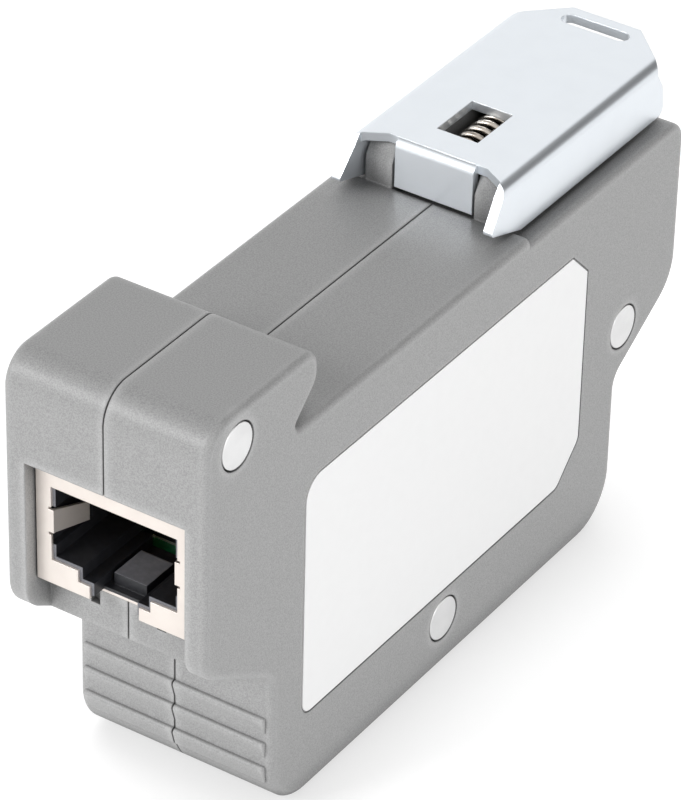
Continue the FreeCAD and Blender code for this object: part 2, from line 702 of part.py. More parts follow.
def strip(points, thick, x0, x1):
    """Bent sheet strip from x0 to x1 whose lower side follows (y, z) points."""
    far = []
    for i, point in enumerate(points):
        before = points[max(i - 1, 0)]
        after = points[min(i + 1, len(points) - 1)]
        first = math.atan2(point[1] - before[1], point[0] - before[0]) if i else None
        second = math.atan2(after[1] - point[1], after[0] - point[0]) if i < len(points) - 1 else first
        first = second if first is None else first
        bend = (second - first + math.pi) % (2 * math.pi) - math.pi
        normal = first + bend / 2 + math.pi / 2
        reach = thick / math.cos(bend / 2)
        far.append((point[0] + reach * math.cos(normal), point[1] + reach * math.sin(normal)))
    ring = points + far[::-1]
    wire = Part.makePolygon([Vector(x0, y, z) for y, z in ring + ring[:1]])
    return Part.Face(wire).extrude(Vector(x1 - x0, 0, 0))


def jack_contacts():
    """Eight contact wires: tail on the board, run along the ceiling, end sprung down and back."""
    ceiling = WINDOW_TOP + MOUTH_LIP
    tail = SOCKET_SET_BACK + SHIELD_SHEET + MOUTH_DEPTH + SEAT_GAP + CONTACT_THICK
    bend = tail - CONTACT_RUN - CONTACT_REACH
    under = ceiling - CONTACT_THICK - SEAT_GAP
    points = [
        (bend + CONTACT_REACH, under - CONTACT_DROP),
        (bend, under),
        (tail, under),
        (tail, SOCKET_FLOOR),
    ]
    wires = []
    for i in range(CONTACT_COUNT):
        x = (i - (CONTACT_COUNT - 1) / 2) * CONTACT_PITCH
        wires.append(strip(points, CONTACT_THICK, x - CONTACT_WIDTH / 2, x + CONTACT_WIDTH / 2))
    return Part.makeCompound(wires)


def circuit_board():
    """Board between the two sockets, bored for the pegs of both inserts."""
    half_width = INNER_HALF - BOARD_CLEARANCE
    start = SILL_BACK + BOARD_CLEARANCE
    end = RIVETS["rivet_rear"][0] - BOSS_RADIUS - BOARD_CLEARANCE
    board = box(-half_width, half_width, start, end, BOARD_LOW, BOARD_TOP)
    holes = peg_rods(PEG_RADIUS + SCREW_FIT)
    holes += [from_rear(hole) for hole in holes]
    return board.cut(holes)


def gas_tube(index):
    """Ceramic gas tube under the board, with three metal rings and three leads."""
    y = BODY_LENGTH / 2 + (index - (TUBE_COUNT - 1) / 2) * TUBE_PITCH
    z = BOARD_LOW - TUBE_STAND_OFF - TUBE_RADIUS
    half_length = TUBE_LENGTH / 2
    half_lead = TUBE_LEAD / 2
    tube = rod(-half_length, half_length, y, z, TUBE_RADIUS - TUBE_NECK)
    for middle in (TUBE_RING / 2 - half_length, 0, half_length - TUBE_RING / 2):
        ring = rod(middle - TUBE_RING / 2, middle + TUBE_RING / 2, y, z, TUBE_RADIUS)
        lead = box(middle - half_lead, middle + half_lead, y - half_lead, y + half_lead, z, BOARD_LOW)
        tube = tube.fuse([ring, lead])
    return tube.removeSplitter()


def diode_leg(x, root, side):
    """Bent leg at x that leaves the package at y root and turns down to the board."""
    x0 = x - DIODE_LEG_WIDTH / 2
    x1 = x + DIODE_LEG_WIDTH / 2
    knee = root + side * (DIODE_LEG_ROOT + DIODE_LEG_REACH / 2)
    toe = root + side * (DIODE_LEG_ROOT + DIODE_LEG_REACH)
    inner = knee - side * DIODE_LEG_THICK
    shoulder = BOARD_TOP + DIODE_HEIGHT / 2
    sole = BOARD_TOP + DIODE_LEG_THICK
    arm = box(x0, x1, min(root, knee), max(root, knee), shoulder, shoulder + DIODE_LEG_THICK)
    post = box(x0, x1, min(inner, knee), max(inner, knee), BOARD_TOP, shoulder + DIODE_LEG_THICK)
    foot = box(x0, x1, min(inner, toe), max(inner, toe), BOARD_TOP, sole)
    return [arm, post, foot]


def surge_diode(index):
    """Flat diode package on the board, on two rows of bent legs."""
    y = DIODE_START + index * DIODE_PITCH
    low = BOARD_TOP + DIODE_STAND_OFF
    body = box(DIODE_X - DIODE_LENGTH / 2, DIODE_X + DIODE_LENGTH / 2, y - DIODE_WIDTH / 2, y + DIODE_WIDTH / 2,
               low, low + DIODE_HEIGHT)
    legs = []
    for side in (-1, 1):
        root = y + side * (DIODE_WIDTH / 2 - DIODE_LEG_ROOT)
        for i in range(DIODE_LEGS):
            legs += diode_leg(DIODE_X + (i - (DIODE_LEGS - 1) / 2) * DIODE_LEG_PITCH, root, side)
    return body.fuse(legs).removeSplitter()


def earth_strap():
    """Bent strap from the board up to the boss under the deck."""
    boss_low = DECK_HEIGHT - WALL - SCREW_BOSS_LENGTH
    riser = STRAP_Y - SCREW_BOSS_RADIUS - STRAP_THICK
    points = [
        (riser - STRAP_FOOT, BOARD_TOP),
        (riser, BOARD_TOP),
        (riser, boss_low - STRAP_THICK),
        (STRAP_Y + SCREW_BOSS_RADIUS, boss_low - STRAP_THICK),
    ]
    ring = strip(points, STRAP_THICK, STRAP_X - STRAP_WIDTH / 2, STRAP_X + STRAP_WIDTH / 2)
    under = Vector(STRAP_X, STRAP_Y, boss_low - 2 * STRAP_THICK)
    return ring.cut(Part.makeCylinder(SCREW_RADIUS + SCREW_FIT, 3 * STRAP_THICK, under))


def earth_screw():
    """Screw that holds the strap on its boss."""
    seat = DECK_HEIGHT - WALL - SCREW_BOSS_LENGTH - STRAP_THICK
    low = seat - SCREW_HEAD_HEIGHT
    half_slot = SCREW_SLOT_WIDTH / 2
    shank_length = STRAP_THICK + SCREW_LENGTH - SCREW_TIP_GAP
    shank = Part.makeCylinder(SCREW_RADIUS, shank_length, Vector(STRAP_X, STRAP_Y, seat))
    head = Part.makeCylinder(SCREW_HEAD_RADIUS, SCREW_HEAD_HEIGHT, Vector(STRAP_X, STRAP_Y, low))
    slot = box(STRAP_X - half_slot, STRAP_X + half_slot, STRAP_Y - SCREW_HEAD_RADIUS, STRAP_Y + SCREW_HEAD_RADIUS,
               low, low + SCREW_SLOT_DEPTH)
    return shank.fuse(head).cut(slot).removeSplitter()


def foot_channel():
    """Folded channel along Y, with rounded bends and flanges that flare downwards."""
    bend = FOOT_BEND
    tight = FOOT_BEND - FOOT_SHEET
    right = [
        (FOOT_INNER + FOOT_FLARE, FOOT_LOW, 0),
        (FOOT_HALF + FOOT_FLARE, FOOT_LOW, 0),
        (FOOT_HALF, FOOT_TOP, bend),
    ]
    left = [
        (-FOOT_HALF, FOOT_TOP, bend),
        (-FOOT_HALF - FOOT_FLARE, FOOT_LOW, 0),
        (-FOOT_INNER - FOOT_FLARE, FOOT_LOW, 0),
    ]
    under = [(-FOOT_INNER, FOOT_UNDER, tight), (FOOT_INNER, FOOT_UNDER, tight)]
    return front_prism(right + left + under, FOOT_TIP_Y - 1, FOOT_REAR_Y)


def foot_side_outline():
    """Foot seen from the side: ramp to the tip, wedge over the rail's edge, flange and plate."""
    ramp = (FOOT_FOLD_Y - FOOT_TIP_Y) / (FOOT_TOP - FOOT_TIP_Z)
    return [
        (FOOT_TIP_Y, FOOT_TIP_Z, FOOT_TIP_ROUND),
        (FOOT_HEEL_Y, FOOT_LOW, FOOT_HEEL_ROUND),
        (FOOT_FLANGE_END, FOOT_LOW, FOOT_HEEL_ROUND),
        (FOOT_FLANGE_END, FOOT_TOP - 2 * FOOT_BEND, FOOT_END_ROUND),
        (FOOT_SHOULDER_Y, FOOT_TOP - FOOT_BEND, 0),
        (FOOT_REAR_Y + 1, FOOT_TOP - FOOT_BEND, 0),
        (FOOT_REAR_Y + 1, FOOT_TOP + 1, 0),
        (FOOT_FOLD_Y + ramp, FOOT_TOP + 1, 0),
    ]


def foot_front_relief():
    """Cut beside the tongue, on the right: straight at the tongue, then forward to the fold."""
    corners = [
        (TONGUE_WIDTH / 2, FOOT_TIP_Y - 1, 0),
        (FOOT_INNER, FOOT_TIP_Y - 1, 0),
        (FOOT_INNER, FOOT_FOLD_Y + FOOT_SHEET / 4, 0),
        (RELIEF_WIDTH / 2, RELIEF_Y, 0),
        (TONGUE_WIDTH / 2, RELIEF_Y, 0),
    ]
    return plan_prism(corners, FOOT_LOW, FOOT_TOP + 1)


def foot_rear_corner():
    """Corner cut off the plate behind the right flange."""
    half_rear = FOOT_REAR_WIDTH / 2
    spill = (FOOT_REAR_Y - FOOT_SHOULDER_Y) / (FOOT_HALF - half_rear)
    corners = [
        (half_rear - 1, FOOT_REAR_Y + spill, 0),
        (FOOT_HALF + 1, FOOT_SHOULDER_Y - spill, 0),
        (FOOT_HALF + 1, FOOT_REAR_Y + spill, 0),
    ]
    return plan_prism(corners, FOOT_TOP - FOOT_BEND, FOOT_TOP + 1)


def foot_hook_lip():
    """Lip folded inwards along the lower edge of the right flange."""
    return box(FOOT_INNER - HOOK_LIP_REACH, FOOT_HALF - FOOT_SHEET / 2, HOOK_LIP_FRONT, HOOK_LIP_REAR,
               FOOT_LOW, FOOT_LOW + FOOT_SHEET)


def foot_tongue():
    """Tongue folded down at the front, rounded over its bend."""
    half_width = TONGUE_WIDTH / 2
    tongue = box(-half_width, half_width, TONGUE_Y, TONGUE_BACK, TONGUE_LOW, FOOT_TOP)
    top = box(-half_width, half_width, TONGUE_Y, RELIEF_Y + FOOT_SHEET, FOOT_UNDER, FOOT_TOP)
    bent = tongue.fuse(top).removeSplitter()
    fold = [e for e in bent.Edges if e.BoundBox.ZMin > FOOT_TOP - 0.001 and e.BoundBox.YMax < TONGUE_Y + 0.001]
    return bent.makeFillet(FOOT_SHEET, fold)


def pull_slot():
    """Slot for a screwdriver, with round ends."""
    radius = PULL_SLOT_WIDTH / 2
    half_run = PULL_SLOT_LENGTH / 2 - radius
    depth = 3 * FOOT_SHEET
    low = FOOT_TOP - depth / 2
    slot = box(-half_run, half_run, PULL_SLOT_Y - radius, PULL_SLOT_Y + radius, low, low + depth)
    ends = [Part.makeCylinder(radius, depth, Vector(x, PULL_SLOT_Y, low)) for x in (-half_run, half_run)]
    return slot.fuse(ends)


def rail_foot():
    """Foot: plate with a pull slot and a window, hooked flanges and a tongue."""
    half_tongue = TONGUE_WIDTH / 2
    half_window = VIEW_WINDOW_WIDTH / 2
    foot = foot_channel().common(side_prism(foot_side_outline(), -HALF, HALF))
    foot = foot.cut(both_sides(foot_front_relief()) + both_sides(foot_rear_corner()))
    foot = foot.cut(box(-half_tongue, half_tongue, FOOT_TIP_Y - 1, RELIEF_Y, FOOT_LOW, FOOT_TOP + 1))
    foot = foot.fuse(both_sides(foot_hook_lip()) + [foot_tongue()])
    window = box(-half_window, half_window, VIEW_WINDOW_FRONT, VIEW_WINDOW_REAR, FOOT_UNDER - 1, FOOT_TOP + 1)
    return foot.cut([pull_slot(), window]).removeSplitter()


def foot_spring():
    """Compression spring of six-sided wire between the tongue and the end of its channel, with ground ends."""
    mean = SPRING_RADIUS - SPRING_WIRE / 2
    spare = 2 * SPRING_PITCH
    helix = Part.makeHelix(SPRING_PITCH, SPRING_LENGTH + 2 * spare, mean)
    corners = []
    for i in range(SPRING_WIRE_SIDES):
        angle = 2 * math.pi * i / SPRING_WIRE_SIDES
        corners.append(Vector(mean + SPRING_WIRE / 2 * math.cos(angle), 0, SPRING_WIRE / 2 * math.sin(angle)))
    section = Part.makePolygon(corners + corners[:1])
    coil = Part.Wire(helix.Edges).makePipeShell([section], True, True)
    coil.translate(Vector(0, 0, -spare))
    ground = coil.common(Part.makeCylinder(SPRING_RADIUS + 1, SPRING_LENGTH))
    ground.rotate(Vector(0, 0, 0), Vector(1, 0, 0), -90)
    ground.translate(Vector(0, SPRING_FRONT, SPRING_Z))
    return ground


def save(name, shape):
    """Write one node, moved so that the base's middle is the origin."""
    placed = shape.copy()
    placed.translate(Vector(0, -ORIGIN_Y, 0))
    placed.exportStep(os.path.join("parts", name + ".step"))


def main():
    """Build every node and write it."""
    os.makedirs("parts", exist_ok=True)
    save("housing_right", housing_right())
    save("housing_left", housing_left())
    save("label", label())
    for name, (y, z) in RIVETS.items():
        save(name, rivet(y, z))
    shield, insert, contacts = jack_shield(), jack_insert(), jack_contacts()
    for end, placing in (("front", lambda solid: solid), ("rear", from_rear)):
        save(end + "_jack_shield", placing(shield))
        save(end + "_jack_insert", placing(insert))
        save(end + "_jack_contacts", placing(contacts))
    save("circuit_board", circuit_board())
    for i in range(TUBE_COUNT):
        save("gas_tube_" + str(i + 1), gas_tube(i))
    for i in range(DIODE_COUNT):
        save("surge_diode_" + str(i + 1), surge_diode(i))
    save("earth_strap", earth_strap())
    save("earth_screw", earth_screw())
    save("rail_foot", rail_foot())
    save("foot_spring", foot_spring())


main()
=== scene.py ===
import json
import logging
import math
from collections.abc import Callable
from dataclasses import dataclass, field
from enum import Enum

import bpy
from mathutils import Matrix, Vector

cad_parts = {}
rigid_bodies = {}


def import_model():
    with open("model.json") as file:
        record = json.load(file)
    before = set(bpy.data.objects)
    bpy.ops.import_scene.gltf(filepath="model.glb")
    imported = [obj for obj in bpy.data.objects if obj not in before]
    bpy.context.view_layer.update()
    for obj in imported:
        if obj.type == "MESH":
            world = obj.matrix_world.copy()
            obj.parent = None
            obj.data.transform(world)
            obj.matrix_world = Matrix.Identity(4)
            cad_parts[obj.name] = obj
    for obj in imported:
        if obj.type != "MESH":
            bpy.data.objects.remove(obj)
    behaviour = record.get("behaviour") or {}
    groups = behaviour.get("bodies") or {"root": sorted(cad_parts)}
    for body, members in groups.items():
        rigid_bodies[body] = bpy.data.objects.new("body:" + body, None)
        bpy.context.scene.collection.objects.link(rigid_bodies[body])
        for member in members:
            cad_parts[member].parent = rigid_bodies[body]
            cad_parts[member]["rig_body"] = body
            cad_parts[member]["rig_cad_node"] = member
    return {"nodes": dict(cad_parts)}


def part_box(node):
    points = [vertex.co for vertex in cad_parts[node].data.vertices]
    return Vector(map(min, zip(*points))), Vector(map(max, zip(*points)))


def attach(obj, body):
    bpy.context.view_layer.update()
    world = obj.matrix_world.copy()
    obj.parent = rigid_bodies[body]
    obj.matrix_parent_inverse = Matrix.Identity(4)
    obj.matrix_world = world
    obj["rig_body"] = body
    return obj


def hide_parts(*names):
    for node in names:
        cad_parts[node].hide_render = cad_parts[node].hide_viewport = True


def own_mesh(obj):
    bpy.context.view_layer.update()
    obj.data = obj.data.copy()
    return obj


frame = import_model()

log = logging.getLogger("surge_protector")

MM = 0.001
IMAGE_HEIGHT = 800
OCCLUSION_SAMPLES = 8
BEVEL_SAMPLES = 6
WELD_MM = 0.001
FLAT_DEGREES = 0.4

Colour = tuple[float, float, float, float]
Span = tuple[float, float]
Triple = tuple[float, float, float]


class Body(Enum):
    """The rigid bodies that pieces ride on."""

    HOUSING = "housing"
    FOOT = "foot"


class Side(Enum):
    """The two halves of the housing, as seen from the front."""

    RIGHT = "right"
    LEFT = "left"


class End(Enum):
    """The two ends of the housing, each with a socket."""

    FRONT = "front"
    REAR = "rear"


class Slot(Enum):
    """Names of the record's material slots."""

    HOUSING = "housing_paint"
    LABEL = "label_film"
    RIVET = "rivet_aluminium"
    SHIELD = "shield_steel"
    INSERT = "insert_plastic"
    CONTACT = "contact_brass"
    ZINC = "zinc_steel"
    SPRING = "spring_steel"


def linear(hex_colour: str) -> Colour:
    """Turns an sRGB hex colour into linear values.

    Args:
        hex_colour: six hex digits after a hash.

    Returns:
        Linear red, green, blue and an alpha of 1.
    """
    parts = [int(hex_colour[i : i + 2], 16) / 255 for i in (1, 3, 5)]
    red, green, blue = (c / 12.92 if c <= 0.04045 else ((c + 0.055) / 1.055) ** 2.4 for c in parts)
    return (red, green, blue, 1.0)


def put(
    tree: bpy.types.NodeTree, kind: str, settings: dict | None = None, inputs: dict | None = None
) -> bpy.types.Node:
    """Adds a node with its settings and links.

    Args:
        tree: the node tree that gets the node.
        kind: the node's type.
        settings: node properties by name.
        inputs: a value, or an output socket to link, by input name or number.

    Returns:
        The new node.
    """
    node = tree.nodes.new(kind)
    for name, value in (settings or {}).items():
        setattr(node, name, value)
    for key, value in (inputs or {}).items():
        if isinstance(value, bpy.types.NodeSocket):
            tree.links.new(value, node.inputs[key])
        else:
            node.inputs[key].default_value = value
    return node


def per_metre(size_mm: float) -> float:
    """Gives the texture scale at which one cell of a pattern measures size_mm."""
    return 1 / (size_mm * MM)


def relief(
    tree: bpy.types.NodeTree, height: bpy.types.NodeSocket, strength: float, depth_mm: float, edge_mm: float
) -> bpy.types.NodeSocket:
    """Softens a surface's edges and lays a fine relief over it.

    Args:
        tree: the material's node tree.
        height: the pattern that gives the relief.
        strength: share of the relief that shows.
        depth_mm: the relief's depth.
        edge_mm: radius of the softened edges.

    Returns:
        The shading normal.
    """
    edge = put(tree, "ShaderNodeBevel", {"samples": BEVEL_SAMPLES}, {"Radius": edge_mm * MM}).outputs["Normal"]
    return put(
        tree,
        "ShaderNodeBump",
        inputs={"Height": height, "Strength": strength, "Distance": depth_mm * MM, "Normal": edge},
    ).outputs["Normal"]


@dataclass(frozen=True)
class Finish:
    """A surface finish that makes one material."""

    name: str

    def shade(self, tree: bpy.types.NodeTree) -> bpy.types.NodeSocket:
        """Builds the shader in a material's node tree and returns its output."""
        raise NotImplementedError

    def material(self) -> bpy.types.Material:
        """Makes the material the first time, and finds it again after that.

        Returns:
            The material, named for the finish.
        """
        made = bpy.data.materials.get(self.name)
        if made is None:
            made = bpy.data.materials.new(self.name)
            made.use_nodes = True
            made.node_tree.nodes.clear()
            put(made.node_tree, "ShaderNodeOutputMaterial", inputs={"Surface": self.shade(made.node_tree)})
        return made

    def dress(self, piece: bpy.types.Object) -> None:
        """Puts the material on all of a piece."""
        piece.data.materials.clear()
        piece.data.materials.append(self.material())


@dataclass(frozen=True)
class DieCastPaint(Finish):
    """Grey powder paint on a zinc die casting: matte, with a fine sandy grain.

    Attributes:
        base, dark, light: the paint, and the ends of its grain.
        painted_highlight, painted_shade: the colours that convex edges turn to as a painted highlight, and shut-in
            places as painted shade.
        grain_mm, grain_span, grain_strength, grain_depth_mm: size, contrast and relief of the sandy grain.
        mottle_mm, mottle_share: size of soft clouds, and how much of the grain they hide.
        edge_mm: radius of the softened edges.
        highlight_mm, highlight_span, highlight_share: reach, limits and strength of the painted highlight on convex
        edges.
        groove_mm, groove_span, groove_depth: reach, limits and strength of the painted shade in seams and steps.
        side_groove_depth, side_mm, side_blend_mm: the weaker painted shade on the flat sides, and where they begin.
        recess_mm, recess_span, recess_depth: the same for the painted shade in wider recesses and in places under
            other pieces.
        roughness, ior: the coat's gloss.
    """

    base: str = "#9D9D9D"
    dark: str = "#8C8C8C"
    light: str = "#ADADAD"
    # Painted highlight: the colour that convex edges turn towards.
    painted_highlight: str = "#F0F0F0"
    # Painted shade: the colour that seams, inner corners and recesses turn towards.
    painted_shade: str = "#101010"
    grain_mm: float = 0.12
    grain_span: Span = (0.36, 0.64)
    grain_strength: float = 0.6
    grain_depth_mm: float = 0.02
    mottle_mm: float = 7.0
    mottle_share: Span = (0.1, 0.35)
    edge_mm: float = 0.35
    highlight_mm: float = 1.1
    highlight_span: Span = (0.5, 0.92)
    highlight_share: float = 0.22
    groove_mm: float = 0.6
    groove_span: Span = (0.1, 0.5)
    groove_depth: float = 0.95
    side_groove_depth: float = 0.3
    side_mm: float = 8.4
    side_blend_mm: float = 1.0
    recess_mm: float = 5.0
    recess_span: Span = (0.4, 0.7)
    recess_depth: float = 0.65
    roughness: float = 0.38
    ior: float = 1.5

    def shade(self, tree: bpy.types.NodeTree) -> bpy.types.NodeSocket:
        """Builds the paint with its grain, a painted highlight on its edges and painted shade in its grooves and
        recesses, in that order.

        Args:
            tree: the material's node tree.

        Returns:
            The shader's output.
        """
        place = put(tree, "ShaderNodeTexCoord").outputs["Object"]
        grain = put(
            tree,
            "ShaderNodeTexNoise",
            inputs={"Vector": place, "Scale": per_metre(self.grain_mm), "Detail": 3.0, "Roughness": 0.6},
        ).outputs["Fac"]
        # The grain's colour gets a painted highlight on convex edges and painted shade in grooves, then painted shade
        # in recesses.
        edge_highlighted = self.paint_edge_highlight(tree, self.sand(tree, place, grain))
        groove_shaded = self.paint_groove_shade(tree, place, edge_highlighted)
        return put(
            tree,
            "ShaderNodeBsdfPrincipled",
            inputs={
                "Base Color": self.paint_recess_shade(tree, groove_shaded),
                "Roughness": self.roughness,
                "IOR": self.ior,
                "Normal": relief(tree, grain, self.grain_strength, self.grain_depth_mm, self.edge_mm),
            },
        ).outputs["BSDF"]

    def sand(
        self, tree: bpy.types.NodeTree, place: bpy.types.NodeSocket, grain: bpy.types.NodeSocket
    ) -> bpy.types.NodeSocket:
        """Colours the sandy grain and hides it a little in soft clouds.

        Args:
            tree: the material's node tree.
            place: the place on the piece.
            grain: the grain's pattern.

        Returns:
            The paint's colour.
        """
        speck = put(
            tree,
            "ShaderNodeMapRange",
            inputs={"Value": grain, "From Min": self.grain_span[0], "From Max": self.grain_span[1]},
        ).outputs["Result"]
        sandy = put(
            tree,
            "ShaderNodeMix",
            {"data_type": "RGBA"},
            {0: speck, 6: linear(self.dark), 7: linear(self.light)},
        ).outputs[2]
        mottle = put(
            tree, "ShaderNodeTexNoise", inputs={"Vector": place, "Scale": per_metre(self.mottle_mm), "Detail": 2.0}
        ).outputs["Fac"]
        hidden = put(
            tree,
            "ShaderNodeMapRange",
            inputs={"Value": mottle, "To Min": self.mottle_share[0], "To Max": self.mottle_share[1]},
        ).outputs["Result"]
        return put(
            tree, "ShaderNodeMix", {"data_type": "RGBA"}, {0: hidden, 6: sandy, 7: linear(self.base)}
        ).outputs[2]

    def paint_edge_highlight(self, tree: bpy.types.NodeTree, colour: bpy.types.NodeSocket) -> bpy.types.NodeSocket:
        """Paints a highlight on convex edges, found where rays sent inwards soon leave the piece.

        Args:
            tree: the material's node tree.
            colour: the colour so far.

        Returns:
            The colour with its painted edge highlight.
        """
        within = put(
            tree,
            "ShaderNodeAmbientOcclusion",
            {"samples": OCCLUSION_SAMPLES, "inside": True, "only_local": True},
            {"Distance": self.highlight_mm * MM},
        ).outputs["AO"]
        edge_highlight = put(
            tree,
            "ShaderNodeMapRange",
            inputs={
                "Value": within,
                "From Min": self.highlight_span[0],
                "From Max": self.highlight_span[1],
                "To Min": self.highlight_share,
                "To Max": 0.0,
            },
        ).outputs["Result"]
        return put(
            tree, "ShaderNodeMix", {"data_type": "RGBA"}, {0: edge_highlight, 6: colour, 7: linear(self.painted_highlight)}
        ).outputs[2]

    def paint_groove_shade(
        self, tree: bpy.types.NodeTree, place: bpy.types.NodeSocket, colour: bpy.types.NodeSocket
    ) -> bpy.types.NodeSocket:
        """Paints shade into seams and inner corners of the piece itself, less of it on its flat sides.

        Args:
            tree: the material's node tree.
            place: the place on the piece.
            colour: the colour so far.

        Returns:
            The colour with painted shade in its grooves.
        """
        openness = put(
            tree,
            "ShaderNodeAmbientOcclusion",
            {"samples": OCCLUSION_SAMPLES, "only_local": True},
            {"Distance": self.groove_mm * MM},
        ).outputs["AO"]
        across = put(tree, "ShaderNodeSeparateXYZ", inputs={0: place}).outputs["X"]
        outward = put(tree, "ShaderNodeMath", {"operation": "ABSOLUTE"}, {0: across}).outputs[0]
        depth = put(
            tree,
            "ShaderNodeMapRange",
            inputs={
                "Value": outward,
                "From Min": self.side_mm * MM,
                "From Max": (self.side_mm + self.side_blend_mm) * MM,
                "To Min": self.groove_depth,
                "To Max": self.side_groove_depth,
            },
        ).outputs["Result"]
        shut = put(
            tree,
            "ShaderNodeMapRange",
            inputs={
                "Value": openness,
                "From Min": self.groove_span[0],
                "From Max": self.groove_span[1],
                "To Min": depth,
                "To Max": 0.0,
            },
        ).outputs["Result"]
        return put(
            tree, "ShaderNodeMix", {"data_type": "RGBA"}, {0: shut, 6: colour, 7: linear(self.painted_shade)}
        ).outputs[2]

    def paint_recess_shade(self, tree: bpy.types.NodeTree, colour: bpy.types.NodeSocket) -> bpy.types.NodeSocket:
        """Paints shade into wider recesses and onto what lies close under other pieces.

        Args:
            tree: the material's node tree.
            colour: the colour so far.

        Returns:
            The colour with painted shade in its recesses.
        """
        around = put(
            tree, "ShaderNodeAmbientOcclusion", {"samples": OCCLUSION_SAMPLES}, {"Distance": self.recess_mm * MM}
        ).outputs["AO"]
        sunk = put(
            tree,
            "ShaderNodeMapRange",
            inputs={
                "Value": around,
                "From Min": self.recess_span[0],
                "From Max": self.recess_span[1],
                "To Min": self.recess_depth,
                "To Max": 0.0,
            },
        ).outputs["Result"]
        return put(
            tree, "ShaderNodeMix", {"data_type": "RGBA"}, {0: sunk, 6: colour, 7: linear(self.painted_shade)}
        ).outputs[2]


@dataclass(frozen=True)
class MetalSheet(Finish):
    """Bare or plated metal: a tint, a grain along one axis and a slightly uneven gloss.

    Attributes:
        colour, shade_colour: the tint, and what soft clouds turn it to.
        roughness, spread: the gloss, and how far the grain moves it either way.
        grain_mm: size of the grain along X, Y and Z.
        cloud_mm, cloud_span: size and limits of the soft clouds.
        bump, bump_mm: share and depth of the grain's relief.
        edge_mm: radius of the softened edges.
        metallic: below 1 where a thin bright layer also scatters light.
    """

    colour: str = "#EEF3F8"
    shade_colour: str = "#ECF1F6"
    roughness: float = 0.36
    spread: float = 0.03
    grain_mm: Triple = (0.2, 6.0, 0.2)
    cloud_mm: float = 3.0
    cloud_span: Span = (0.4, 0.7)
    bump: float = 0.06
    bump_mm: float = 0.01
    edge_mm: float = 0.1
    metallic: float = 1.0

    def shade(self, tree: bpy.types.NodeTree) -> bpy.types.NodeSocket:
        """Builds the grain, the clouding and softened edges.

        Args:
            tree: the material's node tree.

        Returns:
            The shader's output.
        """
        place = put(tree, "ShaderNodeTexCoord").outputs["Object"]
        scale = tuple(per_metre(size) for size in self.grain_mm)
        along = put(tree, "ShaderNodeMapping", inputs={"Vector": place, "Scale": scale}).outputs["Vector"]
        grain = put(tree, "ShaderNodeTexNoise", inputs={"Vector": along, "Scale": 1.0, "Detail": 3.0}).outputs["Fac"]
        cloud = put(
            tree, "ShaderNodeTexNoise", inputs={"Vector": place, "Scale": per_metre(self.cloud_mm), "Detail": 4.0}
        ).outputs["Fac"]
        clouded = put(
            tree,
            "ShaderNodeMapRange",
            inputs={"Value": cloud, "From Min": self.cloud_span[0], "From Max": self.cloud_span[1]},
        ).outputs["Result"]
        colour = put(
            tree,
            "ShaderNodeMix",
            {"data_type": "RGBA"},
            {0: clouded, 6: linear(self.colour), 7: linear(self.shade_colour)},
        ).outputs[2]
        gloss = put(
            tree,
            "ShaderNodeMapRange",
            inputs={"Value": grain, "To Min": self.roughness - self.spread, "To Max": self.roughness + self.spread},
        ).outputs["Result"]
        normal = relief(tree, grain, self.bump, self.bump_mm, self.edge_mm)
        return put(
            tree,
            "ShaderNodeBsdfPrincipled",
            inputs={"Base Color": colour, "Metallic": self.metallic, "Roughness": gloss, "Normal": normal},
        ).outputs["BSDF"]


@dataclass(frozen=True)
class Moulding(Finish):
    """Moulded or coated plastic, laminate or ceramic: one colour, a faint texture and its own gloss.

    Attributes:
        colour, light: the ends of the texture's colour.
        roughness, ior: the surface's gloss.
        grain_mm, grain_span: size and contrast of the texture.
        bump, bump_mm: share and depth of the texture's relief.
        edge_mm: radius of the softened edges.
    """

    colour: str = "#141519"
    light: str = "#1D1E22"
    roughness: float = 0.45
    ior: float = 1.5
    grain_mm: float = 0.5
    grain_span: Span = (0.35, 0.65)
    bump: float = 0.1
    bump_mm: float = 0.01
    edge_mm: float = 0.08

    def shade(self, tree: bpy.types.NodeTree) -> bpy.types.NodeSocket:
        """Builds the faint texture and softened edges.

        Args:
            tree: the material's node tree.

        Returns:
            The shader's output.
        """
        place = put(tree, "ShaderNodeTexCoord").outputs["Object"]
        grain = put(
            tree, "ShaderNodeTexNoise", inputs={"Vector": place, "Scale": per_metre(self.grain_mm), "Detail": 3.0}
        ).outputs["Fac"]
        lit = put(
            tree,
            "ShaderNodeMapRange",
            inputs={"Value": grain, "From Min": self.grain_span[0], "From Max": self.grain_span[1]},
        ).outputs["Result"]
        colour = put(
            tree, "ShaderNodeMix", {"data_type": "RGBA"}, {0: lit, 6: linear(self.colour), 7: linear(self.light)}
        ).outputs[2]
        normal = relief(tree, grain, self.bump, self.bump_mm, self.edge_mm)
        return put(
            tree,
            "ShaderNodeBsdfPrincipled",
            inputs={"Base Color": colour, "Roughness": self.roughness, "IOR": self.ior, "Normal": normal},
        ).outputs["BSDF"]


# Powder paint over a casting: a low gloss on its rounds, with a painted highlight on edges and painted shade in the
# seam. Its grain is finer than 0.1 mm and is drawn a little coarser, so that it shows.
HOUSING_PAINT = DieCastPaint("powder_paint_on_die_cast_zinc")
# Blue zinc plating on pressed steel: a cold white with a soft sheen.
ZINC_PLATING = MetalSheet("blue_zinc_plated_steel", roughness=0.3, metallic=0.75)
# Tinned steel, folded: a warm white, duller and less even than zinc, with upright lines from its rolling.
TINNED_STEEL = MetalSheet(
    "tinned_steel_sheet",
    colour="#F0E8E1",
    shade_colour="#EAE1DA",
    roughness=0.42,
    spread=0.08,
    bump=0.2,
    grain_mm=(0.2, 0.2, 3.0),
    metallic=0.7,
)
